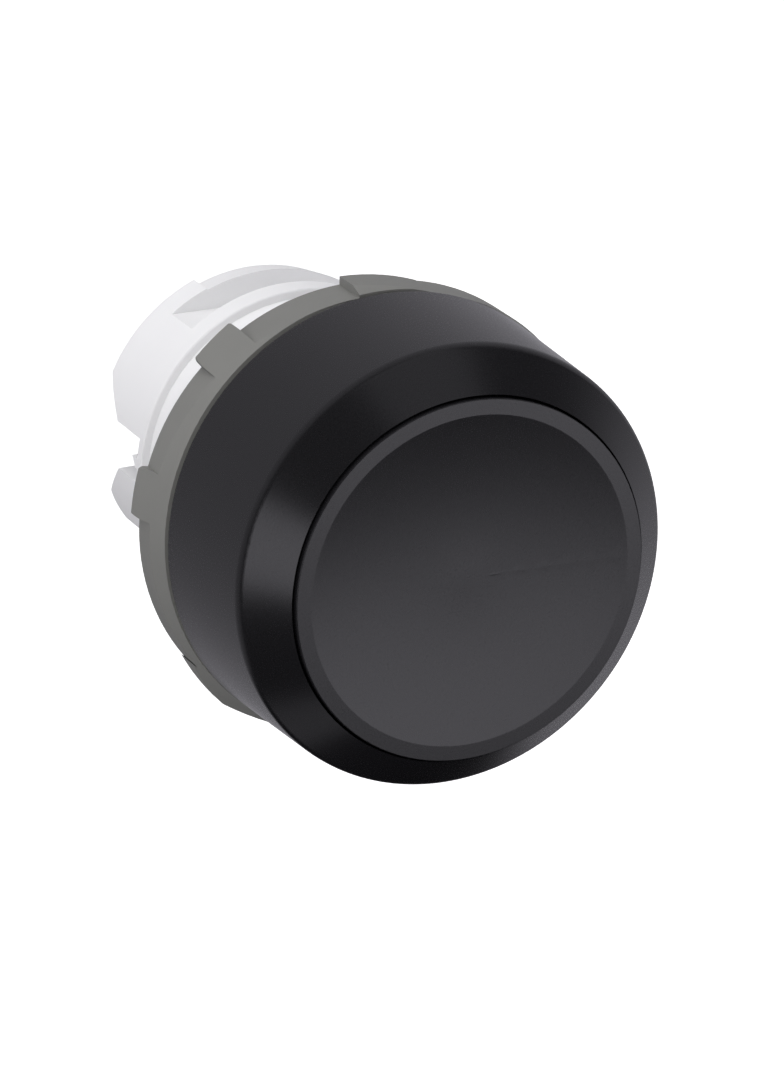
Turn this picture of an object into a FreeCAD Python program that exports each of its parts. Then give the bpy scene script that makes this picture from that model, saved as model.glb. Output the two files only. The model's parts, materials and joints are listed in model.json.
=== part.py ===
import FreeCAD, Part
import math
import os
import re
import Sketcher

# Flush, momentary push button head for a 22.3 mm round panel hole, in millimetres.
# The button faces -Y, pressing moves it along +Y into the panel, and +Z is up.
# The origin is the middle of the panel hole, on the plane that the panel seal rests on.
# A name that ends in _at is a position along Y; every round piece is turned about the Y axis.

SIZES = [
    ("clearance", 0.05, "radial clearance between pieces that fit in each other"),
    ("mouth_at", -15.61, "front edge of the bezel"),
    ("mouth_radius", 11.74, "bore of the bezel round the button"),
    ("chamfer_at", -13.2, "rear edge of the bezel's chamfer"),
    ("chamfer_radius", 14.22, "outside of the bezel's chamfer"),
    ("chamfer_edge", 0.9, "rounding between the chamfer and the barrel"),
    ("bezel_rear_at", -3.25, "rear edge of the bezel"),
    ("bezel_rear_radius", 14.65, "outside of the bezel at its rear"),
    ("bezel_step_at", -9.0, "step inside the bezel, where its socket starts"),
    ("socket_radius", 13.25, "bezel's socket for the mounting body"),
    ("snap_front_at", -5.3, "front of the bezel's snap ridge"),
    ("snap_rear_at", -4.7, "rear of the bezel's snap ridge"),
    ("snap_height", 0.25, "height of the snap ridge"),
    ("bezel_edge", 0.3, "rounding of the bezel's rear edge"),
    ("face_at", -15.92, "rim of the released button's face"),
    ("cap_radius", 11.58, "outside of the button cap"),
    ("cap_rim_radius", 10.6, "inner edge of the flat rim on the cap's face"),
    ("dish_depth", 0.6, "depth of the dished face"),
    ("dish_flat", 1.0, "radius of the flat middle of the dished face"),
    ("cap_wall", 1.18, "wall of the cap's skirt"),
    ("cap_ceiling_at", -13.9, "inside of the cap's face"),
    ("cap_skirt_at", -11.6, "rear edge of the cap's skirt"),
    ("cap_edge", 0.06, "rounding of the cap's front edge"),
    ("disc_rear_at", -11.8, "rear face of the carrier's disc"),
    ("hub_radius", 7.4, "outside of the carrier's hub"),
    ("hub_bore", 5.8, "bore of the carrier's hub"),
    ("hub_end_at", -4.6, "rear end of the carrier's hub"),
    ("boss_radius", 3.9, "outside of the carrier's boss"),
    ("boss_end_at", -8.6, "rear end of the carrier's boss"),
    ("bead_front_at", -10.2, "front of the diaphragm's inner bead"),
    ("bead_rear_at", -9.2, "rear of the diaphragm's inner bead"),
    ("bead_groove", 0.4, "depth of the hub's groove for that bead"),
    ("bead_lip", 0.4, "step from the membrane's front to the back of that bead"),
    ("plunger_radius", 3.0, "plunger's stem"),
    ("plunger_front_at", -13.0, "front end of the plunger"),
    ("plunger_rear_at", 9.0, "rear end of the plunger"),
    ("clip_at", 7.05, "front of the retaining clip"),
    ("clip_thickness", 0.6, "thickness of the retaining clip"),
    ("clip_radius", 4.7, "outside of the retaining clip"),
    ("clip_groove_radius", 2.3, "bottom of the plunger's clip groove"),
    ("clip_gap", 2.6, "opening of the retaining clip"),
    ("washer_thickness", 0.55, "stop washer"),
    ("washer_radius", 5.0, "outside of the stop washer"),
    ("key_flat", 2.4, "distance from the axis to the flats on the plunger's rear end"),
    ("key_length", 1.15, "length of the flats on the plunger's rear end"),
    ("screw_washer", 0.4, "thickness of the washer under the screw's head"),
    ("screw_washer_radius", 3.3, "outside of that washer"),
    ("screw_radius", 1.1, "shank of the pusher screw"),
    ("screw_length", 6.0, "shank of the pusher screw below its head"),
    ("pilot_spare", 0.5, "how much deeper the pilot hole is than the screw"),
    ("screw_head_radius", 2.1, "head of the pusher screw"),
    ("screw_head", 1.3, "height of the pusher screw's head"),
    ("recess_width", 0.6, "width of the cross recess"),
    ("recess_length", 2.2, "length of the cross recess"),
    ("recess_depth", 0.8, "depth of the cross recess"),
    ("foot_radius", 6.9, "disc of the pusher foot"),
    ("foot_disc", 1.2, "thickness of the pusher foot's disc"),
    ("foot_height", 3.0, "height of the pusher foot to the end of its pads"),
    ("pad_inner", 3.4, "near side of a pusher pad"),
    ("pad_outer", 6.0, "far side of a pusher pad"),
    ("pad_half", 2.6, "half the width of a pusher pad"),
    ("wing_reach", 8.4, "reach of the pusher foot's guide wings"),
    ("wing_half", 1.5, "half the width of a guide wing"),
    ("tube_front_at", -8.0, "front end of the mounting body's tube"),
    ("tube_radius", 13.2, "outside of the mounting body's tube"),
    ("tube_bore", 12.2, "bore of the mounting body's tube"),
    ("flange_front_at", -3.0, "front of the mounting body's flange"),
    ("flange_rear_at", -1.5, "rear of the mounting body's flange"),
    ("flange_radius", 13.6, "mounting body's flange"),
    ("ledge_at", -4.2, "ledge that the diaphragm is clamped on"),
    ("chamber_radius", 9.0, "chamber behind the diaphragm"),
    ("web_front_at", 1.1, "front of the web that carries the guide bush"),
    ("web_rear_at", 3.1, "rear of that web"),
    ("neck_radius", 10.45, "neck of the spigot, where the panel sits"),
    ("ring_at", 9.7, "front of the spigot's locating ring"),
    ("spigot_radius", 11.0, "spigot's locating ring and rear walls"),
    ("spigot_end_at", 17.0, "rear end of the spigot"),
    ("spigot_bore", 7.4, "bore of the spigot's rear chamber"),
    ("groove_front_at", 11.4, "front of the bayonet grooves"),
    ("groove_rear_at", 14.7, "rear of the bayonet grooves"),
    ("groove_floor", 8.8, "height of the bayonet grooves' flat floor"),
    ("lead_in_front", 10.88, "radius of the lead-in slope at the groove"),
    ("lead_in_rear", 10.52, "radius of the lead-in slope at the spigot's end"),
    ("lead_in_half", 32.0, "degrees from the middle of the lead-in slope to either side"),
    ("lead_in_turn", 10.0, "degrees that the middle is turned from the vertical, towards +X on top"),
    ("keyway_reach", 8.7, "depth of the keyways for the pusher's wings"),
    ("keyway_half", 1.7, "half the width of those keyways"),
    ("keyway_front_at", 8.0, "front end of those keyways"),
    ("slot_front_at", 10.35, "front end of the side openings"),
    ("shell_edge", 2.32, "height of the upper shell's lower edge"),
    ("slope_front_at", 14.1, "where the upper shell's corner starts to slope"),
    ("slope_height", 4.82, "height that the slope reaches at the spigot's end"),
    ("stub_rear_at", 11.2, "rear of the small stub in the side opening"),
    ("stub_top", 1.0, "top of that stub"),
    ("stub_bottom", 0.3, "bottom of that stub"),
    ("stub_slope", 0.6, "how far the stub's rear face leans forwards"),
    ("tooth_top", -0.65, "top flank of the side tooth"),
    ("tooth_bottom", -4.75, "bottom flank of the side tooth"),
    ("tooth_shoulder_at", 13.5, "rear end of the tooth's top flank"),
    ("tooth_tip_at", 15.9, "rear tip of the tooth"),
    ("tooth_tip_height", -3.0, "height of that tip"),
    ("tooth_corner_at", 14.9, "rear end of the tooth's bottom flank"),
    ("tooth_nose", 1.6, "radius of the tooth's nose"),
    ("lower_shell_edge", -8.17, "height of the lower shell's upper edge"),
    ("body_edge", 0.15, "rounding of the spigot's outer edges"),
    ("gasket_radius", 14.45, "outside of the panel seal where it is thinnest"),
    ("gasket_bore", 10.6, "bore of the panel seal"),
    ("gasket_front_at", -3.0, "front edge of the panel seal"),
    ("gasket_seat_radius", 13.7, "recess of the panel seal round the flange"),
    ("lug_root", 14.0, "where the lugs grow out of the panel seal"),
    ("lug_front_radius", 14.65, "where the sloped lugs start, at the seal's front"),
    ("lug_reach", 15.75, "tip of a sloped lug, before its slope is cut"),
    ("lug_half", 1.6, "half the width of a sloped lug"),
    ("lug_corner", 0.4, "rounding of the sloped lugs' corners"),
    ("upper_lug", 130.0, "degrees from +X to the upper left lug"),
    ("side_lug", 169.0, "degrees from +X to the left lug"),
    ("swell_reach", 15.12, "outside of the seal where it swells to the side"),
    ("swell_half", 80.0, "degrees from the middle of that swelling to either end"),
    ("swell", 175.0, "degrees from +X to the middle of the left swelling"),
    ("corner_reach", 15.57, "outside of the seal at its lower left corner"),
    ("corner_foot", 15.0, "outside of the seal where that corner starts and ends"),
    ("corner_half", 17.0, "degrees from the corner to either end"),
    ("corner", 231.0, "degrees from +X to that corner"),
    ("top_lug_side", 1.44, "from the middle to the upright side of the top lug"),
    ("top_lug_reach", 14.93, "height of that side"),
    ("top_lug_end", 3.73, "from the middle to where the top lug has run out"),
    ("bezel_seal_inner", 12.3, "bore of the seal between bezel and body"),
    ("diaphragm_bead_radius", 12.1, "outside of the diaphragm's outer bead"),
    ("diaphragm_bead_front_at", -5.2, "front of that bead"),
    ("membrane_outer", 10.8, "outer end of the membrane"),
    ("membrane_inner", 8.9, "inner end of the membrane"),
    ("membrane", 0.6, "radial thickness of the membrane"),
    ("clamp_inner", 11.0, "bore of the clamp ring"),
    ("clamp_front_at", -6.3, "front of the clamp ring"),
    ("bush_radius", 3.8, "outside of the guide bush"),
    ("bush_front_at", -3.0, "front end of the guide bush"),
    ("bush_rear_at", 6.4, "rear end of the guide bush"),
    ("bush_flange_radius", 5.4, "flange of the guide bush"),
    ("bush_flange", 1.0, "thickness of that flange"),
    ("seat_outer", 5.4, "outside of the spring seat"),
    ("seat_thickness", 0.3, "thickness of the spring seat"),
    ("stop_inner", 5.75, "bore of the stop ring"),
    ("stop_outer", 7.6, "outside of the stop ring"),
    ("stop_front_at", 0.5, "front of the stop ring"),
    ("spring_radius", 4.62, "mean radius of the return spring"),
    ("spring_wire", 0.4, "radius of the spring's wire"),
    ("spring_turns", 6.5, "turns of the spring"),
]
ALIASES = {alias for alias, value, note in SIZES}
SCREW_SEAT = "plunger_rear_at + foot_disc + screw_washer"

doc = FreeCAD.newDocument("PushButton")
sheet = doc.addObject("Spreadsheet::Sheet", "Sizes")
for row, (alias, value, note) in enumerate(SIZES, start=1):
    sheet.set(f"A{row}", note)
    sheet.set(f"B{row}", str(value))
    sheet.setAlias(f"B{row}", alias)
ruler = doc.addObject("App::FeaturePython", "Ruler")
ruler.addProperty("App::PropertyFloat", "Reading")
doc.recompute()


def bound(formula):
    """The formula with the sheet's name in front of each of the sheet's aliases."""
    return re.sub(r"[a-z_]+", lambda found: qualified(found.group()), str(formula))


def qualified(word):
    """The word, with the sheet's name in front if it is one of the sheet's aliases."""
    return f"Sizes.{word}" if word in ALIASES else word


def size(formula):
    """The number that a formula over the sheet's aliases gives now."""
    ruler.setExpression("Reading", bound(formula))
    ruler.recompute()
    return ruler.Reading


# ---- building blocks -------------------------------------------------------------------------


def new_body(name):
    """An empty body whose label is the name of its piece."""
    body = doc.addObject("PartDesign::Body", name)
    body.Label = name
    return body


def sketch_on(body, name, role, offset="0", turn="0"):
    """A sketch on one of the body's origin planes, moved along and turned about its normal."""
    sketch = body.newObject("Sketcher::SketchObject", name)
    plane = next(f for f in body.Origin.OriginFeatures if f.Role == role)
    sketch.AttachmentSupport = [(plane, "")]
    sketch.MapMode = "FlatFace"
    sketch.setExpression("AttachmentOffset.Base.z", bound(offset))
    sketch.setExpression("AttachmentOffset.Rotation.Angle", bound(turn))
    return sketch


def fix(sketch, kind, geometry, point, formula):
    """Binds one coordinate of a point, measured from the sketch's origin, to a formula."""
    if size(formula) == 0:
        axis = -2 if kind == "DistanceX" else -1
        sketch.addConstraint(Sketcher.Constraint("PointOnObject", geometry, point, axis))
        return
    index = sketch.addConstraint(
        Sketcher.Constraint(kind, -1, 1, geometry, point, size(formula))
    )
    sketch.setExpression(f"Constraints[{index}]", bound(formula))


def arc_between(start, end, radius):
    """The short arc from start to end; a positive radius has its centre on the left."""
    chord = end - start
    half = chord.Length / 2
    left = FreeCAD.Vector(-chord.y, chord.x, 0).normalize()
    side = math.copysign(math.sqrt(radius * radius - half * half), radius)
    centre = (start + end) / 2 + left * side
    middle = centre - left * math.copysign(abs(radius), radius)
    return Part.Arc(start, middle, end)


def outline(sketch, corners):
    """A closed outline through (x, y) corners; a third value is the radius of the arc to the next."""
    places = [FreeCAD.Vector(size(c[0]), size(c[1]), 0) for c in corners]
    starts = []
    ends = []
    for here, corner in enumerate(corners):
        start = places[here]
        end = places[(here + 1) % len(places)]
        if len(corner) == 3:
            arc = arc_between(start, end, size(corner[2]))
            index = sketch.addGeometry(arc, False)
            runs_on = sketch.getPoint(index, 1).isEqual(start, 1e-6)
            starts.append((index, 1 if runs_on else 2))
            ends.append((index, 2 if runs_on else 1))
        else:
            index = sketch.addGeometry(Part.LineSegment(start, end), False)
            starts.append((index, 1))
            ends.append((index, 2))
    for here, corner in enumerate(corners):
        sketch.addConstraint(Sketcher.Constraint("Coincident", *ends[here - 1], *starts[here]))
        fix(sketch, "DistanceX", *starts[here], corner[0])
        fix(sketch, "DistanceY", *starts[here], corner[1])
        if len(corner) == 3:
            radius = f"abs({corner[2]})"
            bend = Sketcher.Constraint("Radius", starts[here][0], size(radius))
            sketch.setExpression(f"Constraints[{sketch.addConstraint(bend)}]", bound(radius))


def box_outline(sketch, left, right, low, high):
    """A closed rectangle from its four sides."""
    outline(sketch, [(left, low), (right, low), (right, high), (left, high)])


def circle(sketch, radius, x="0", y="0"):
    """A circle about a point."""
    middle = FreeCAD.Vector(size(x), size(y), 0)
    index = sketch.addGeometry(Part.Circle(middle, FreeCAD.Vector(0, 0, 1), size(radius)), False)
    fix(sketch, "DistanceX", index, 3, x)
    fix(sketch, "DistanceY", index, 3, y)
    bend = Sketcher.Constraint("Radius", index, size(radius))
    sketch.setExpression(f"Constraints[{sketch.addConstraint(bend)}]", bound(radius))


def changed(body, feature, cuts):
    """The finished feature, once its volume shows that it cut or added material."""
    doc.recompute()
    before = feature.BaseFeature.Shape.Volume if feature.BaseFeature else 0.0
    after = feature.Shape.Volume
    if (after >= before) if cuts else (after <= before):
        raise RuntimeError(f"{body.Label}.{feature.Name} changed {before} to {after}")
    return feature


def turned(body, name, corners, cuts=False):
    """A ring about the Y axis, added or cut, from its half section of (radius, y) corners."""
    sketch = sketch_on(body, name + "Section", "XY_Plane")
    outline(sketch, corners)
    kind = "PartDesign::Groove" if cuts else "PartDesign::Revolution"
    feature = body.newObject(kind, name)
    feature.Profile = sketch
    feature.ReferenceAxis = (sketch, ["V_Axis"])
    feature.Angle = 360
    return changed(body, feature, cuts)


def along_y(body, name, front, rear, draw, cuts=False, turn="0"):
    """A prism from y = front to y = rear, added or cut; draw fills in its (x, z) sketch."""
    sketch = sketch_on(body, name + "Sketch", "XZ_Plane", f"-({front})", turn)
    draw(sketch)
    feature = body.newObject("PartDesign::Pocket" if cuts else "PartDesign::Pad", name)
    feature.Profile = sketch
    feature.Reversed = not cuts
    feature.setExpression("Length", bound(f"({rear}) - ({front})"))
    return changed(body, feature, cuts)


def across(body, name, draw):
    """A cut right through the body along X; draw fills in its (y, z) sketch."""
    sketch = sketch_on(body, name + "Sketch", "YZ_Plane")
    draw(sketch)
    feature = body.newObject("PartDesign::Pocket", name)
    feature.Profile = sketch
    feature.Midplane = True
    feature.setExpression("Length", bound("4 * spigot_radius"))
    return changed(body, feature, True)


def is_round_edge(edge, radius, y):
    """Whether the edge is a full circle or arc about the Y axis, at that radius and place."""
    if edge.Degenerated or not isinstance(edge.Curve, Part.Circle):
        return False
    curve = edge.Curve
    centre = curve.Center
    on_axis = math.hypot(centre.x, centre.z) < 1e-4
    return on_axis and abs(curve.Radius - radius) < 1e-4 and abs(centre.y - y) < 1e-4


def soften(body, name, rings, radius):
    """Rounds the edges that run round the Y axis at these (radius, y) places."""
    base = body.Tip
    wanted = [(size(r), size(y)) for r, y in rings]
    edges = [
        f"Edge{number}"
        for number, edge in enumerate(base.Shape.Edges, start=1)
        if any(is_round_edge(edge, r, y) for r, y in wanted)
    ]
    return fillet(body, name, base, edges, radius)


def fillet(body, name, base, edges, radius):
    """Rounds the named edges of the base feature."""
    feature = body.newObject("PartDesign::Fillet", name)
    feature.Base = (base, edges)
    feature.setExpression("Radius", bound(radius))
    doc.recompute()
    return feature


# ---- fixed pieces ----------------------------------------------------------------------------


def front_bezel():
    """The round barrel in front of the panel, chamfered towards its mouth."""
    body = new_body("front_bezel")
    socket = "socket_radius"
    ridge = "socket_radius - snap_height"
    turned(body, "Barrel", [
        ("mouth_radius", "mouth_at"),
        ("chamfer_radius", "chamfer_at"),
        ("bezel_rear_radius", "bezel_rear_at"),
        (socket, "bezel_rear_at"),
        (socket, "snap_rear_at"),
        (ridge, "snap_rear_at"),
        (ridge, "snap_front_at"),
        (socket, "snap_front_at"),
        (socket, "bezel_step_at"),
        ("mouth_radius", "bezel_step_at"),
    ])
    soften(body, "ChamferEdge", [("chamfer_radius", "chamfer_at")], "chamfer_edge")
    soften(body, "RearEdge", [("bezel_rear_radius", "bezel_rear_at")], "bezel_edge")
    return body


def mounting_body():
    """The body that goes through the panel hole and carries everything else."""
    body = new_body("mounting_body")
    snap = "tube_radius - snap_height"
    turned(body, "Shell", [
        ("tube_bore", "tube_front_at"),
        ("tube_radius", "tube_front_at"),
        ("tube_radius", "snap_front_at - clearance"),
        (snap, "snap_front_at - clearance"),
        (snap, "snap_rear_at + clearance"),
        ("tube_radius", "snap_rear_at + clearance"),
        ("tube_radius", "flange_front_at"),
        ("flange_radius", "flange_front_at"),
        ("flange_radius", "flange_rear_at"),
        ("neck_radius", "flange_rear_at"),
        ("neck_radius", "ring_at"),
        ("spigot_radius", "ring_at"),
        ("spigot_radius", "spigot_end_at"),
        ("spigot_bore", "spigot_end_at"),
        ("spigot_bore", "web_rear_at"),
        ("bush_radius + clearance", "web_rear_at"),
        ("bush_radius + clearance", "web_front_at"),
        ("chamber_radius", "web_front_at"),
        ("chamber_radius", "ledge_at"),
        ("tube_bore", "ledge_at"),
    ])
    soften(body, "SpigotEdges", [
        ("spigot_radius", "ring_at"),
        ("spigot_radius", "spigot_end_at"),
    ], "body_edge")
    for name, sign in (("Upper", 1), ("Lower", -1)):
        across(body, name + "Groove", lambda sketch: bayonet_groove(sketch, sign))
        lead_in(body, name + "LeadIn", sign)
    across(body, "SideOpenings", side_opening)
    along_y(body, "Keyways", "keyway_front_at", "spigot_end_at + 1", lambda sketch: box_outline(
        sketch, "-keyway_reach", "keyway_reach", "-keyway_half", "keyway_half"
    ), cuts=True)
    return body


def bayonet_groove(sketch, sign):
    """A flat-bottomed groove across the spigot."""
    box_outline(sketch, "groove_front_at", "groove_rear_at",
                f"{sign} * groove_floor", f"{sign} * (spigot_radius + 1)")


def lead_in(body, name, sign):
    """The sloped relief that leads into a bayonet groove from behind."""
    sketch = sketch_on(body, name + "Section", "YZ_Plane", turn="lead_in_turn")
    turn = FreeCAD.Rotation(FreeCAD.Vector(1, 0, 0), size("lead_in_turn"))
    sketch.AttachmentOffset = FreeCAD.Placement(FreeCAD.Vector(), turn)
    fall = "(lead_in_front - lead_in_rear) / (spigot_end_at - groove_rear_at)"
    outline(sketch, [
        ("groove_rear_at - 1", f"{sign} * (lead_in_front + {fall})"),
        ("spigot_end_at + 1", f"{sign} * (lead_in_rear - {fall})"),
        ("spigot_end_at + 1", f"{sign} * (spigot_radius + 1)"),
        ("groove_rear_at - 1", f"{sign} * (spigot_radius + 1)"),
    ])
    feature = body.newObject("PartDesign::Groove", name)
    feature.Profile = sketch
    feature.ReferenceAxis = (sketch, ["H_Axis"])
    feature.Midplane = True
    feature.setExpression("Angle", bound("2 * lead_in_half"))
    return changed(body, feature, True)


def side_opening(sketch):
    """The openings in both sides of the spigot, which leave a tooth standing in each."""
    end = "spigot_end_at + 1"
    rise = "(slope_height - shell_edge) / (spigot_end_at - slope_front_at)"
    outline(sketch, [
        (end, f"slope_height + {rise}"),
        ("slope_front_at", "shell_edge"),
        ("slot_front_at", "shell_edge"),
        ("slot_front_at", "stub_top"),
        ("stub_rear_at", "stub_top"),
        ("stub_rear_at - stub_slope", "stub_bottom"),
        ("slot_front_at", "stub_bottom"),
        ("slot_front_at", "tooth_top"),
        ("tooth_shoulder_at", "tooth_top"),
        ("tooth_tip_at", "tooth_tip_height", "-tooth_nose"),
        ("tooth_corner_at", "tooth_bottom"),
        ("slot_front_at", "tooth_bottom"),
        ("slot_front_at", "lower_shell_edge"),
        (end, "lower_shell_edge"),
    ])


def panel_gasket():
    """The seal between the flange and the panel, with lugs and swellings on its rim."""
    body = new_body("panel_gasket")
    turned(body, "Ring", [
        ("gasket_bore", "flange_rear_at"),
        ("gasket_seat_radius", "flange_rear_at"),
        ("gasket_seat_radius", "gasket_front_at"),
        ("gasket_radius", "gasket_front_at"),
        ("gasket_radius", "0"),
        ("gasket_bore", "0"),
    ])
    add_pair(body, "Upper", "upper_lug", sloped_lug)
    add_pair(body, "Side", "side_lug", sloped_lug)
    fillet(body, "LugCorners", body.Tip, lug_corners(body.Tip.Shape), "lug_corner")
    add_pair(body, "Swell", "swell", swelling)
    add_pair(body, "Ramp", "0", top_lug)
    add_lug(body, "LeftCorner", "corner", corner_lug)
    add_lug(body, "RightCorner", "180 - corner", corner_lug)
    turned(body, "LugSlope", [
        ("lug_front_radius", "gasket_front_at"),
        ("lug_reach + 1", "gasket_front_at"),
        ("lug_reach + 1", "0"),
        ("lug_reach - clearance", "0"),
    ], cuts=True)
    return body


def add_pair(body, name, angle, draw):
    """The same lug at an angle from +X towards +Z, and half a turn on."""
    add_lug(body, name, angle, draw)
    add_lug(body, name + "Opposite", f"{angle} + 180", draw)


def add_lug(body, name, angle, draw):
    """A lug on the seal's rim; draw fills in its sketch as if the angle were zero."""
    along_y(body, name, "gasket_front_at", "0", draw, turn=angle)


def sloped_lug(sketch):
    """A lug on the X axis with parallel sides and a rounded tip."""
    tip = "sqrt(lug_reach^2 - lug_half^2)"
    root = "sqrt(lug_root^2 - lug_half^2)"
    outline(sketch, [
        (root, "-lug_half"),
        (tip, "-lug_half", "lug_reach"),
        (tip, "lug_half"),
        (root, "lug_half", "-lug_root"),
    ])


def swelling(sketch):
    """A crescent about the X axis that runs out into the ring at both ends."""
    end_x = "gasket_radius * cos(swell_half)"
    end_z = "gasket_radius * sin(swell_half)"
    rise = f"(swell_reach - {end_x})"
    bend = f"((({end_z})^2 + {rise}^2) / (2 * {rise}))"
    outline(sketch, [
        ("lug_root * cos(swell_half)", "-lug_root * sin(swell_half)"),
        (end_x, f"-{end_z}", bend),
        (end_x, end_z),
        ("lug_root * cos(swell_half)", "lug_root * sin(swell_half)", "-lug_root"),
    ])


def corner_lug(sketch):
    """A blunt corner on the X axis between two arcs."""
    foot_x = "corner_foot * cos(corner_half)"
    foot_z = "corner_foot * sin(corner_half)"
    outline(sketch, [
        (foot_x, f"-{foot_z}", "corner_reach"),
        ("corner_reach", "0", "corner_reach"),
        (foot_x, foot_z),
    ])


def top_lug(sketch):
    """A lug on the Z axis with one upright side, sloping down into the ring on the other."""
    outline(sketch, [
        ("-top_lug_side", "lug_root"),
        ("top_lug_end", "lug_root", "top_lug_reach"),
        ("-top_lug_side", "top_lug_reach"),
    ])


def lug_corners(shape):
    """The names of the edges that run along Y at the tips of the lugs."""
    names = []
    for number, edge in enumerate(shape.Edges, start=1):
        first, last = edge.Vertexes[0].Point, edge.Vertexes[-1].Point
        straight = abs(first.x - last.x) < 1e-4 and abs(first.z - last.z) < 1e-4
        if straight and math.hypot(first.x, first.z) > size("gasket_radius + clearance"):
            names.append(f"Edge{number}")
    return names


def bezel_seal():
    """The flat ring that seals the bezel against the mounting body's tube."""
    body = new_body("bezel_seal")
    turned(body, "Ring", [
        ("bezel_seal_inner", "bezel_step_at + clearance"),
        ("tube_radius", "bezel_step_at + clearance"),
        ("tube_radius", "tube_front_at - clearance"),
        ("bezel_seal_inner", "tube_front_at - clearance"),
    ])
    return body


def diaphragm_seal():
    """The rubber cone that closes the gap between the moving hub and the mounting body."""
    body = new_body("diaphragm_seal")
    inner = "hub_radius - bead_groove + clearance"
    turned(body, "Cone", [
        ("diaphragm_bead_radius", "ledge_at - clearance"),
        ("diaphragm_bead_radius", "diaphragm_bead_front_at"),
        ("membrane_outer", "diaphragm_bead_front_at"),
        ("membrane_inner", "bead_rear_at - bead_lip"),
        ("membrane_inner", "bead_front_at + clearance"),
        (inner, "bead_front_at + clearance"),
        (inner, "bead_rear_at - clearance"),
        ("membrane_inner - membrane", "bead_rear_at - clearance"),
        ("membrane_outer - membrane", "ledge_at - membrane"),
        ("membrane_outer - membrane", "ledge_at - clearance"),
    ])
    return body


def diaphragm_clamp_ring():
    """The ring that holds the diaphragm's outer bead down on the ledge."""
    body = new_body("diaphragm_clamp_ring")
    turned(body, "Ring", [
        ("clamp_inner", "clamp_front_at"),
        ("tube_bore - clearance", "clamp_front_at"),
        ("tube_bore - clearance", "diaphragm_bead_front_at - clearance"),
        ("clamp_inner", "diaphragm_bead_front_at - clearance"),
    ])
    return body


def guide_bush():
    """The flanged bush in the web, in which the plunger slides."""
    body = new_body("guide_bush")
    bore = "plunger_radius + clearance"
    turned(body, "Sleeve", [
        (bore, "bush_front_at"),
        ("bush_radius", "bush_front_at"),
        ("bush_radius", "web_rear_at"),
        ("bush_flange_radius", "web_rear_at"),
        ("bush_flange_radius", "web_rear_at + bush_flange"),
        ("bush_radius", "web_rear_at + bush_flange"),
        ("bush_radius", "bush_rear_at"),
        (bore, "bush_rear_at"),
    ])
    return body


def spring_seat():
    """The washer under the fixed end of the return spring."""
    return washer("spring_seat", "bush_radius + clearance", "seat_outer",
                  "web_front_at - seat_thickness", "web_front_at")


def stop_ring():
    """The rubber ring that the carrier's hub meets at the end of the travel."""
    return washer("stop_ring", "stop_inner", "stop_outer", "stop_front_at", "web_front_at")


def washer(name, bore, outside, front, rear):
    """A plain flat ring."""
    body = new_body(name)
    turned(body, "Ring", [(bore, front), (outside, front), (outside, rear), (bore, rear)])
    return body


def return_spring():
    """The round wire spring between its seat and the carrier's disc."""
    body = new_body("return_spring")
    low = "disc_rear_at + spring_wire + clearance"
    high = "web_front_at - seat_thickness - spring_wire - clearance"
    section = sketch_on(body, "WireSection", "XY_Plane")
    circle(section, "spring_wire", "spring_radius", low)
    coil = body.newObject("PartDesign::AdditiveHelix", "Coil")
    coil.Profile = section
    coil.ReferenceAxis = (section, ["V_Axis"])
    coil.Mode = "pitch-height-angle"
    coil.setExpression("Height", bound(f"({high}) - ({low})"))
    coil.setExpression("Pitch", bound(f"(({high}) - ({low})) / spring_turns"))
    return body


# ---- moving pieces ---------------------------------------------------------------------------


def button_cap():
    """The cap that a finger presses: a flat rim round a shallow dish."""
    body = new_body("button_cap")
    inside = "cap_radius - cap_wall"
    dish_radius = "(((cap_rim_radius - dish_flat)^2 + dish_depth^2) / (2 * dish_depth))"
    turned(body, "Cup", [
        ("0", "face_at + dish_depth"),
        ("dish_flat", "face_at + dish_depth", f"-{dish_radius}"),
        ("cap_rim_radius", "face_at"),
        ("cap_radius", "face_at"),
        ("cap_radius", "cap_skirt_at"),
        (inside, "cap_skirt_at"),
        (inside, "cap_ceiling_at"),
        ("0", "cap_ceiling_at"),
    ])
    soften(body, "RimEdge", [("cap_radius", "face_at")], "cap_edge")
    return body


def button_carrier():
    """The inner half of the button: a disc in the cap, a hub, and a boss for the plunger."""
    body = new_body("button_carrier")
    disc_radius = "cap_radius - cap_wall - clearance"
    groove = "hub_radius - bead_groove"
    bore = "plunger_radius + clearance / 2"
    turned(body, "Core", [
        ("0", "cap_ceiling_at"),
        (disc_radius, "cap_ceiling_at"),
        (disc_radius, "disc_rear_at"),
        ("hub_radius", "disc_rear_at"),
        ("hub_radius", "bead_front_at"),
        (groove, "bead_front_at"),
        (groove, "bead_rear_at"),
        ("hub_radius", "bead_rear_at"),
        ("hub_radius", "hub_end_at"),
        ("hub_bore", "hub_end_at"),
        ("hub_bore", "disc_rear_at"),
        ("boss_radius", "disc_rear_at"),
        ("boss_radius", "boss_end_at"),
        (bore, "boss_end_at"),
        (bore, "plunger_front_at"),
        ("0", "plunger_front_at"),
    ])
    return body


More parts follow.
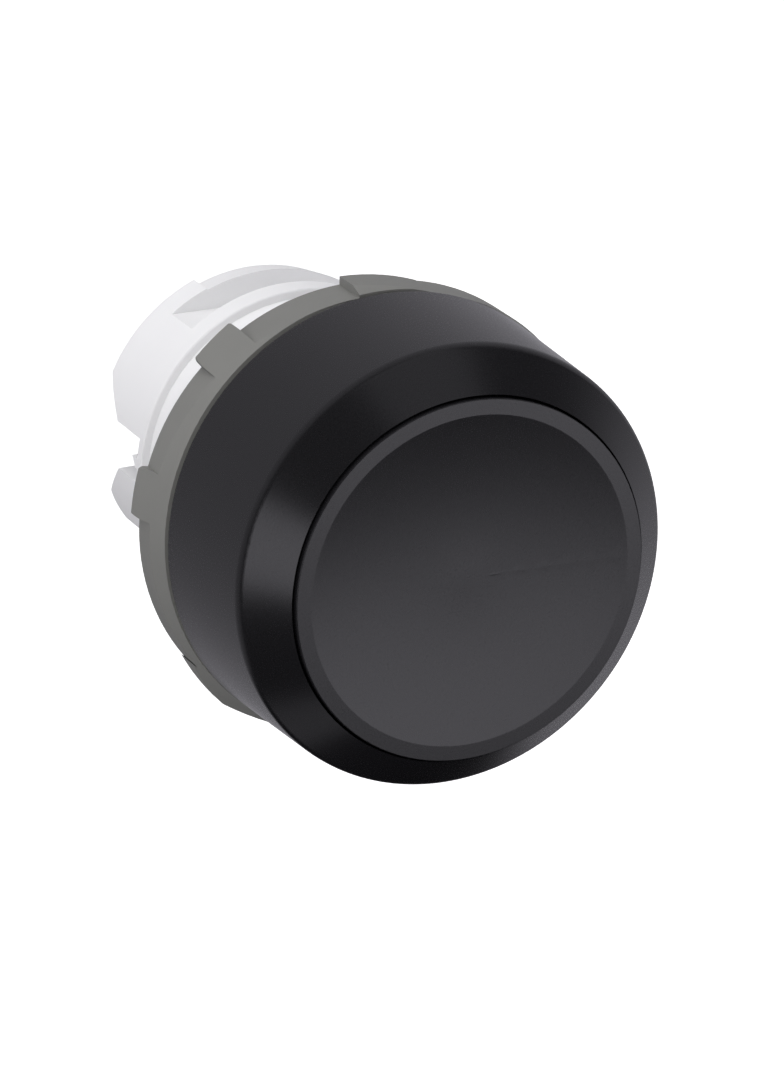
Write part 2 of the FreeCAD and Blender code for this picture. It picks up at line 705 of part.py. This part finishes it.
def plunger():
    """The stem that carries the push from the button through the bush to the pusher foot."""
    body = new_body("plunger")
    clip_end = "clip_at + clip_thickness + clearance"
    turned(body, "Stem", [
        ("0", "plunger_front_at"),
        ("plunger_radius", "plunger_front_at"),
        ("plunger_radius", "clip_at - clearance"),
        ("clip_groove_radius", "clip_at - clearance"),
        ("clip_groove_radius", clip_end),
        ("plunger_radius", clip_end),
        ("plunger_radius", "plunger_rear_at + key_length"),
        ("0", "plunger_rear_at + key_length"),
    ])
    past = "plunger_radius + 1"
    for name, low, high in (("UpperFlat", "key_flat", past), ("LowerFlat", f"-({past})", "-key_flat")):
        along_y(body, name, "plunger_rear_at", "plunger_rear_at + key_length + 1",
                lambda sketch: box_outline(sketch, f"-({past})", past, low, high), cuts=True)
    pilot = "screw_radius + clearance / 2"
    bottom = f"{SCREW_SEAT} - screw_length - pilot_spare"
    turned(body, "PilotHole", [
        ("0", bottom),
        (pilot, bottom),
        (pilot, "plunger_rear_at + key_length"),
        ("0", "plunger_rear_at + key_length"),
    ], cuts=True)
    return body


def stop_washer():
    """The washer that rests on the bush when the button is out."""
    front = "bush_rear_at + clearance"
    return washer("stop_washer", "plunger_radius + clearance", "washer_radius",
                  front, f"{front} + washer_thickness")


def retaining_clip():
    """The open spring ring in the plunger's groove, which keeps the button in."""
    bore = "clip_groove_radius + clearance"
    body = washer("retaining_clip", bore, "clip_radius", "clip_at", "clip_at + clip_thickness")
    along_y(body, "Gap", "clip_at - 1", "clip_at + clip_thickness + 1", lambda sketch: box_outline(
        sketch, "-clip_gap / 2", "clip_gap / 2", "0", "clip_radius + 1"
    ), cuts=True)
    return body


def pusher_foot():
    """The keyed disc on the plunger's end, whose two pads press the contact blocks."""
    body = new_body("pusher_foot")
    front = "plunger_rear_at"
    disc_rear = "plunger_rear_at + foot_disc"
    pad_rear = "plunger_rear_at + foot_height"
    along_y(body, "Disc", front, disc_rear, lambda sketch: circle(sketch, "foot_radius"))
    along_y(body, "Wings", front, disc_rear, lambda sketch: box_outline(
        sketch, "-wing_reach", "wing_reach", "-wing_half", "wing_half"
    ))
    for name, near, far in (
        ("LeftPad", "-pad_outer", "-pad_inner"),
        ("RightPad", "pad_inner", "pad_outer"),
    ):
        along_y(body, name, front, pad_rear,
                lambda sketch: box_outline(sketch, near, far, "-pad_half", "pad_half"))
    along_y(body, "KeyHole", "plunger_rear_at - 1", f"{disc_rear} + 1", key_hole, cuts=True)
    return body


def key_hole(sketch):
    """The plunger's end in section: round, with two flats, and a little clearance."""
    flat = "key_flat + clearance"
    radius = "plunger_radius + clearance"
    across_flat = f"sqrt(({radius})^2 - ({flat})^2)"
    outline(sketch, [
        (f"-{across_flat}", f"-({flat})"),
        (across_flat, f"-({flat})", radius),
        (across_flat, flat),
        (f"-{across_flat}", flat, radius),
    ])


def screw_washer():
    """The washer that spreads the screw's hold over the pusher foot's disc."""
    return washer("screw_washer", "screw_radius + clearance", "screw_washer_radius",
                  "plunger_rear_at + foot_disc", SCREW_SEAT)


def pusher_screw():
    """The small cross-recessed screw that holds the pusher foot on the plunger."""
    body = new_body("pusher_screw")
    head_rear = f"{SCREW_SEAT} + screw_head"
    turned(body, "Turned", [
        ("0", f"{SCREW_SEAT} - screw_length"),
        ("screw_radius", f"{SCREW_SEAT} - screw_length"),
        ("screw_radius", SCREW_SEAT),
        ("screw_head_radius", SCREW_SEAT),
        ("screw_head_radius", head_rear),
        ("0", head_rear),
    ])
    soften(body, "HeadEdge", [("screw_head_radius", head_rear)], "screw_head / 3")
    half_long = "recess_length / 2"
    half_wide = "recess_width / 2"
    for name, wide, high in (
        ("RecessAcross", half_long, half_wide),
        ("RecessUp", half_wide, half_long),
    ):
        along_y(body, name, f"{head_rear} - recess_depth", f"{head_rear} + 1",
                lambda sketch: box_outline(sketch, f"-{wide}", wide, f"-{high}", high), cuts=True)
    return body


# ---- the assembly ----------------------------------------------------------------------------


def write_pieces(pieces):
    """Checks every object and piece, then writes one STEP file for each piece."""
    doc.recompute()
    failed = [o.Name for o in doc.Objects if {"Invalid", "Error"} & set(o.State)]
    if failed:
        raise RuntimeError(f"failed objects: {failed}")
    for piece in pieces:
        shape = piece.Shape
        if shape.isNull() or not shape.isValid() or not shape.Solids:
            raise RuntimeError(f"{piece.Label} has no valid solid")
    os.makedirs("parts", exist_ok=True)
    for piece in pieces:
        box = piece.Shape.BoundBox
        piece.Shape.exportStep(f"parts/{piece.Label}.step")
        print(f"{piece.Label:22s} {len(piece.Shape.Solids)} solid {piece.Shape.Volume:9.1f} mm3"
              f"  y {box.YMin:7.2f} to {box.YMax:7.2f}")


write_pieces([
    front_bezel(),
    mounting_body(),
    panel_gasket(),
    bezel_seal(),
    diaphragm_seal(),
    diaphragm_clamp_ring(),
    guide_bush(),
    spring_seat(),
    stop_ring(),
    return_spring(),
    button_cap(),
    button_carrier(),
    plunger(),
    stop_washer(),
    retaining_clip(),
    pusher_foot(),
    screw_washer(),
    pusher_screw(),
])
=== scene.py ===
import json
import math
import bmesh
import bpy
from mathutils import Matrix, Vector


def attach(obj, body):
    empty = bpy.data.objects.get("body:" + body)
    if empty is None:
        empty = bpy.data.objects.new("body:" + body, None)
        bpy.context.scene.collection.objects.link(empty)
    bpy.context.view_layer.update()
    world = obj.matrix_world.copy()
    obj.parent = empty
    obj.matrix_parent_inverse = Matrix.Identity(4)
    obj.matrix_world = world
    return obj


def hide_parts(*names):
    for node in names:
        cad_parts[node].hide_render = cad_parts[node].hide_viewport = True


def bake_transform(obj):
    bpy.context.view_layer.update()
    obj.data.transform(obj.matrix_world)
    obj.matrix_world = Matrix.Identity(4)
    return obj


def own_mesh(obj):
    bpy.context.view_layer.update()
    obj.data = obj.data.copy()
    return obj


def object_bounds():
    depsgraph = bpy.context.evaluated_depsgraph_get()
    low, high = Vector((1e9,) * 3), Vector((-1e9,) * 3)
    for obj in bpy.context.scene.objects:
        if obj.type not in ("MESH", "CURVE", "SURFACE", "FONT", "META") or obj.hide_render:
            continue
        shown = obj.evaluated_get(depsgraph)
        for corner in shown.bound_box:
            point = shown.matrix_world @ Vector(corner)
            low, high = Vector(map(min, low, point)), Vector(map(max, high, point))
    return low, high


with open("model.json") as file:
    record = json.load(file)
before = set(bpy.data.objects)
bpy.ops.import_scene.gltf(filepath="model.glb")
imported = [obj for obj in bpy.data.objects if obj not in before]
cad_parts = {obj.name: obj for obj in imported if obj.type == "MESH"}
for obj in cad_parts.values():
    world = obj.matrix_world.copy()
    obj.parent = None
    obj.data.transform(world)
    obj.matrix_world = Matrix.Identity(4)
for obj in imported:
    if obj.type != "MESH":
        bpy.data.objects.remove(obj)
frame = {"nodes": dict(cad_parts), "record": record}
CAD_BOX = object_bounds()

# Metres and degrees throughout. The button faces -Y, the panel's front is the plane y = 0, +Z is up.
MM = 0.001

CAMERA_AZIMUTH = -25.13
CAMERA_ELEVATION = 20.69
CAMERA_DISTANCE = 0.3040
CAMERA_LENS = 168.9
SENSOR = 36.0
CHAMFER_AT = -13.2 * MM
AIM_RIGHT = -3.653 * MM
AIM_UP = 2.087 * MM

SPRING_FRONT = -11.75 * MM
SPRING_REAR = 0.75 * MM
SPRING_RADIUS = 4.62 * MM
WIRE_RADIUS = 0.4 * MM
ACTIVE_TURNS = 5.5
TURN_STEPS = 48
WIRE_STEPS = 12

# Corners of the diaphragm's section, in millimetres from the axis and along Y.
DIAPHRAGM_SECTION = [
    (12.1, -4.25), (12.1, -5.2), (10.8, -5.2), (8.9, -9.6), (8.9, -10.15),
    (7.05, -10.15), (7.05, -9.25), (8.3, -9.25), (10.2, -4.8), (10.2, -4.25),
]
DIAPHRAGM_ROUNDING = 0.2 * MM
BEND_STEPS = 4
LONGEST_STEP = 0.3 * MM

FLOOR_DROP = 450 * MM
FLOOR_RADIUS = 0.6
COVE_RADIUS = 0.5
COVE_HEIGHT = 2.5
COVE_STEPS = 16
SOFTBOX_DISTANCE = 0.6
SHEEN_TINT = (0.97, 0.95, 1.03)


# ---- materials --------------------------------------------------------------------------------


class Nodes:
    """A material's node tree, with short ways to add and join nodes."""

    def __init__(self, name):
        self.material = bpy.data.materials.new(name)
        self.material.use_nodes = True
        self.tree = self.material.node_tree
        self.surface = self.tree.nodes["Principled BSDF"]
        self.place = self.add("ShaderNodeTexCoord").outputs["Object"]

    def add(self, kind, inputs=None, **settings):
        """A node of that kind; inputs maps a socket's name to a value or to another socket."""
        node = self.tree.nodes.new(kind)
        for name, value in settings.items():
            setattr(node, name, value)
        for name, value in (inputs or {}).items():
            self.join(value, node.inputs[name])
        return node

    def join(self, value, socket):
        """Links a socket, or stores a plain value on it."""
        if isinstance(value, bpy.types.NodeSocket):
            self.tree.links.new(value, socket)
        else:
            socket.default_value = value

    def noise(self, grain, detail=4.0, roughness=0.6):
        """Noise whose features are about grain metres across, from 0 to 1."""
        return self.add("ShaderNodeTexNoise", {
            "Vector": self.place, "Scale": 1 / grain, "Detail": detail, "Roughness": roughness,
        }).outputs["Fac"]

    def spread(self, value, low, high, start=0.3, end=0.7):
        """The value's run from start to end, stretched to run from low to high."""
        return self.add("ShaderNodeMapRange", {
            "Value": value, "From Min": start, "From Max": end, "To Min": low, "To Max": high,
        }).outputs["Result"]

    def ramp(self, value, stops):
        """A colour ramp through (position, colour) stops."""
        node = self.add("ShaderNodeValToRGB", {"Fac": value})
        points = node.color_ramp.elements
        while len(points) < len(stops):
            points.new(1.0)
        for point, (position, color) in zip(points, stops):
            point.position = position
            point.color = (*color, 1.0)
        return node.outputs["Color"]

    def bump(self, height, distance):
        """A normal from a height of 0 to 1 that stands distance metres high."""
        return self.add("ShaderNodeBump", {
            "Height": height, "Distance": distance, "Strength": 1.0,
        }).outputs["Normal"]

    def finish(self, **sockets):
        """Sets the surface's sockets, named with _ for each space, and returns the material."""
        for name, value in sockets.items():
            self.join(value, self.surface.inputs[name.replace("_", " ")])
        return self.material


def shade(color, factor):
    """The colour, darker or lighter by a factor."""
    return tuple(min(1.0, channel * factor) for channel in color)


def moulded_plastic(name, color, roughness, grain=0.06 * MM, relief=0.0003 * MM, mottle=0.04):
    """Moulded plastic: a fine spark-eroded grain in sheen and relief over slow changes of tone."""
    nodes = Nodes(name)
    cloud = nodes.noise(6 * MM, detail=3.0)
    fine = nodes.noise(grain, detail=2.0, roughness=0.5)
    tone = nodes.ramp(cloud, [(0.3, shade(color, 1 - mottle)), (0.7, shade(color, 1 + mottle))])
    return nodes.finish(
        Base_Color=tone,
        Roughness=nodes.spread(fine, roughness - 0.02, roughness + 0.02),
        Normal=nodes.bump(fine, relief),
    )


def metal(name, color, roughness, grain=0.08 * MM, relief=0.002 * MM):
    """Plated or drawn metal with faint stains and fine scratches."""
    nodes = Nodes(name)
    stain = nodes.noise(1.5 * MM)
    scratch = nodes.noise(grain, detail=2.0)
    tone = nodes.ramp(stain, [(0.3, shade(color, 0.8)), (0.7, shade(color, 1.1))])
    return nodes.finish(
        Base_Color=tone,
        Metallic=1.0,
        Roughness=nodes.spread(scratch, roughness - 0.08, roughness + 0.08),
        Normal=nodes.bump(scratch, relief),
    )


MATERIALS = {
    "bezel_plastic": moulded_plastic("bezel_plastic", (0.0076, 0.0074, 0.0084), 0.26),
    "cap_plastic": moulded_plastic("cap_plastic", (0.0076, 0.0074, 0.0084), 0.26),
    "gasket_rubber": moulded_plastic("gasket_rubber", (0.202, 0.202, 0.19), 0.6, relief=0.002 * MM),
    "body_plastic": moulded_plastic("body_plastic", (0.855, 0.855, 0.858), 0.42, mottle=0.01),
    "black_rubber": moulded_plastic("black_rubber", (0.018, 0.018, 0.018), 0.6),
    "inner_plastic": moulded_plastic("inner_plastic", (0.06, 0.06, 0.065), 0.4),
    "bush_brass": metal("bush_brass", (0.62, 0.45, 0.2), 0.3),
    "plunger_acetal": moulded_plastic("plunger_acetal", (0.78, 0.77, 0.72), 0.3, mottle=0.03),
    "spring_steel": metal("spring_steel", (0.55, 0.55, 0.56), 0.3),
    "zinc_steel": metal("zinc_steel", (0.66, 0.67, 0.7), 0.28),
}
for part in frame["record"]["subparts"]:
    node = frame["nodes"][part["node"]]
    node.material_slots[0].material = MATERIALS[part["material_slot"]]


# ---- meshes -----------------------------------------------------------------------------------


def add_mesh(name, verts, faces):
    """A smooth piece of these points and faces, with its faces turned outwards."""
    mesh = bpy.data.meshes.new(name)
    mesh.from_pydata(verts, [], faces)
    work = bmesh.new()
    work.from_mesh(mesh)
    bmesh.ops.recalc_face_normals(work, faces=work.faces)
    work.to_mesh(mesh)
    work.free()
    mesh.shade_smooth()
    piece = bpy.data.objects.new(name, mesh)
    bpy.context.scene.collection.objects.link(piece)
    return piece


def revolved(name, profile, axis="Y", segments=128, closed=False):
    """A surface of (radius, place along the axis) points turned about Y or Z."""
    verts = []
    for radius, place in profile:
        for step in range(segments):
            turn = 2 * math.pi * step / segments
            across, along = radius * math.cos(turn), radius * math.sin(turn)
            verts.append((across, place, along) if axis == "Y" else (across, -along, place))
    faces = []
    for ring in range(len(profile) if closed else len(profile) - 1):
        start = ring * segments
        beyond = (ring + 1) % len(profile) * segments
        for step in range(segments):
            after = (step + 1) % segments
            faces.append((start + step, start + after, beyond + after, beyond + step))
    return add_mesh(name, verts, faces)


def rounded(corners, radius):
    """The closed outline with each corner bent round, starting a radius before it."""
    points = []
    for here, corner in enumerate(corners):
        start = corner + (corners[here - 1] - corner).normalized() * radius
        end = corner + (corners[(here + 1) % len(corners)] - corner).normalized() * radius
        for step in range(BEND_STEPS + 1):
            share = step / BEND_STEPS
            points.append(start.lerp(corner, share).lerp(corner.lerp(end, share), share))
    return points


def divided(points, longest):
    """The closed outline with points put in, so that no side is longer than longest."""
    finer = []
    for here, point in enumerate(points):
        after = points[(here + 1) % len(points)]
        pieces = max(1, math.ceil((after - point).length / longest))
        finer.extend(point.lerp(after, step / pieces) for step in range(pieces))
    return finer


def add_diaphragm():
    """The rubber cone that joins the fixed body to the moving hub."""
    corners = [Vector((radius * MM, place * MM)) for radius, place in DIAPHRAGM_SECTION]
    profile = divided(rounded(corners, DIAPHRAGM_ROUNDING), LONGEST_STEP)
    piece = revolved("diaphragm", profile, closed=True)
    piece.data.materials.append(MATERIALS["black_rubber"])
    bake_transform(piece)
    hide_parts("diaphragm_seal")


def wire_place(turn, turns):
    """Where along Y the wire's middle is, after that many turns; the end turns lie closed."""
    low = SPRING_FRONT + WIRE_RADIUS / 2
    high = SPRING_REAR - WIRE_RADIUS / 2
    closed = 2 * WIRE_RADIUS
    pitch = (high - low - 2 * closed) / ACTIVE_TURNS
    if turn < 1:
        return low + closed * turn
    if turn > turns - 1:
        return high - closed * (turns - turn)
    return low + closed + pitch * (turn - 1)


def add_spring():
    """The return spring with closed, ground ends."""
    turns = ACTIVE_TURNS + 2
    rings = round(turns * TURN_STEPS) + 1
    verts = []
    for ring in range(rings):
        turn = turns * ring / (rings - 1)
        place = wire_place(turn, turns)
        outwards = Vector((math.cos(2 * math.pi * turn), 0, math.sin(2 * math.pi * turn)))
        for step in range(WIRE_STEPS):
            bend = 2 * math.pi * step / WIRE_STEPS
            point = outwards * (SPRING_RADIUS + WIRE_RADIUS * math.cos(bend))
            along = place + WIRE_RADIUS * math.sin(bend)
            point.y = min(max(along, SPRING_FRONT), SPRING_REAR)
            verts.append(point)
    faces = [tuple(range(WIRE_STEPS)), tuple(range(len(verts) - WIRE_STEPS, len(verts)))]
    for ring in range(rings - 1):
        start = ring * WIRE_STEPS
        for step in range(WIRE_STEPS):
            after = (step + 1) % WIRE_STEPS
            faces.append((start + step, start + after, start + WIRE_STEPS + after,
                          start + WIRE_STEPS + step))
    piece = add_mesh("spring", verts, faces)
    piece.data.materials.append(MATERIALS["spring_steel"])
    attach(piece, "housing")
    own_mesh(piece)
    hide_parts("return_spring")


# ---- studio -----------------------------------------------------------------------------------


def direction(azimuth, elevation):
    """The unit vector towards an azimuth, counted from -Y towards +X, and an elevation."""
    turn, rise = math.radians(azimuth), math.radians(elevation)
    return Vector((
        math.sin(turn) * math.cos(rise), -math.cos(turn) * math.cos(rise), math.sin(rise)
    ))


def facing(back, place):
    """The placement of a camera or light at a place, with its back towards back and no roll."""
    right = Vector((0, 0, 1)).cross(back).normalized()
    axes = Matrix((right, back.cross(right), back)).transposed()
    return Matrix.Translation(place) @ axes.to_4x4()


def add_camera():
    """The camera at the photograph's viewing angle."""
    back = direction(CAMERA_AZIMUTH, CAMERA_ELEVATION)
    turned = facing(back, Vector())
    right, up = turned.col[0].to_3d(), turned.col[1].to_3d()
    aim = Vector((0, CHAMFER_AT, 0)) + right * AIM_RIGHT + up * AIM_UP
    data = bpy.data.cameras.new("camera")
    data.lens = CAMERA_LENS
    data.sensor_width = SENSOR
    data.clip_start = 0.01
    camera = bpy.data.objects.new("camera", data)
    bpy.context.scene.collection.objects.link(camera)
    camera.matrix_world = facing(back, aim + back * CAMERA_DISTANCE)
    bpy.context.scene.camera = camera


def add_floor():
    """The plain pale floor, whose edge curves up into a wall all round; only the camera sees it."""
    low = CAD_BOX[0][2] - FLOOR_DROP
    profile = [(0.0, low)]
    for step in range(COVE_STEPS + 1):
        bend = math.pi / 2 * step / COVE_STEPS
        profile.append((
            FLOOR_RADIUS + COVE_RADIUS * math.sin(bend), low + COVE_RADIUS * (1 - math.cos(bend))
        ))
    profile.append((FLOOR_RADIUS + COVE_RADIUS, low + COVE_HEIGHT))
    floor = revolved("floor", profile, axis="Z", segments=96)
    nodes = Nodes("floor")
    cloud = nodes.noise(0.4)
    tone = nodes.ramp(cloud, [(0.0, (0.9, 0.9, 0.9)), (1.0, (0.94, 0.94, 0.94))])
    floor.data.materials.append(nodes.finish(
        Base_Color=tone, Roughness=0.9, Emission_Color=(1, 1, 1, 1), Emission_Strength=0.95,
    ))
    floor.visible_glossy = False
    floor.visible_diffuse = False
    floor.visible_shadow = False


def add_softbox(name, azimuth, elevation, size, strength, glossy=False):
    """A rectangular soft light that shines on the object from an azimuth and elevation."""
    data = bpy.data.lights.new(name, "AREA")
    data.shape = "RECTANGLE"
    data.size, data.size_y = size
    data.energy = strength
    data.color = SHEEN_TINT if glossy else (1, 1, 1)
    light = bpy.data.objects.new(name, data)
    light.visible_glossy = glossy
    light.visible_camera = False
    bpy.context.scene.collection.objects.link(light)
    back = direction(azimuth, elevation)
    light.matrix_world = facing(back, back * SOFTBOX_DISTANCE)


def add_world():
    """Soft surroundings: a pale wall behind and beside the object, dark in front and below."""
    world = bpy.data.worlds.new("studio")
    bpy.context.scene.world = world
    world.use_nodes = True
    tree = world.node_tree
    place = tree.nodes.new("ShaderNodeTexCoord").outputs["Generated"]
    split = tree.nodes.new("ShaderNodeSeparateXYZ")
    tree.links.new(place, split.inputs["Vector"])
    behind = world_step(tree, split.outputs["Y"], (-0.05, 0.15), (0.07, 1.0))
    above = world_step(tree, split.outputs["Z"], (-0.76, -0.68), (0.0, 1.0))
    right = world_step(tree, split.outputs["X"], (-0.6, 0.9), (0.31, 0.46))
    strength = multiplied(tree, multiplied(tree, behind, above), right)
    tree.links.new(strength, tree.nodes["Background"].inputs["Strength"])
    tree.nodes["Background"].inputs["Color"].default_value = (*SHEEN_TINT, 1)


def multiplied(tree, one, other):
    """The product of two sockets."""
    node = tree.nodes.new("ShaderNodeMath")
    node.operation = "MULTIPLY"
    tree.links.new(one, node.inputs[0])
    tree.links.new(other, node.inputs[1])
    return node.outputs["Value"]


def world_step(tree, value, span, ends):
    """The value's run over a span, turned into a run between two ends and held there."""
    node = tree.nodes.new("ShaderNodeMapRange")
    tree.links.new(value, node.inputs["Value"])
    node.inputs["From Min"].default_value, node.inputs["From Max"].default_value = span
    node.inputs["To Min"].default_value, node.inputs["To Max"].default_value = ends
    return node.outputs["Result"]


add_diaphragm()
add_spring()
add_floor()
add_camera()
add_world()

# Soft lights by azimuth, elevation, size in metres and power in watts.
# The glossy ones show in the plastics' sheen, and the others only brighten the surfaces.
add_softbox("front", 32, -4, (0.56, 0.41), 1.25, glossy=True)
add_softbox("left", -62, 0, (0.25, 0.33), 0.48, glossy=True)
add_softbox("roof", 20, 65, (0.44, 0.44), 0.24, glossy=True)
add_softbox("low_left", -79, -68, (0.2, 0.2), 0.05, glossy=True)
add_softbox("rim", 154, -19, (0.25, 0.25), 0.04, glossy=True)
add_softbox("key", -105, 50, (0.8, 0.8), 1.9)
add_softbox("top", 30, 80, (0.8, 0.8), 2.25)
add_softbox("side", -45, 5, (0.8, 0.8), 2.1)
add_softbox("under", 0, -80, (0.8, 0.8), 0.9)
bpy.context.scene.view_settings.view_transform = "Standard"
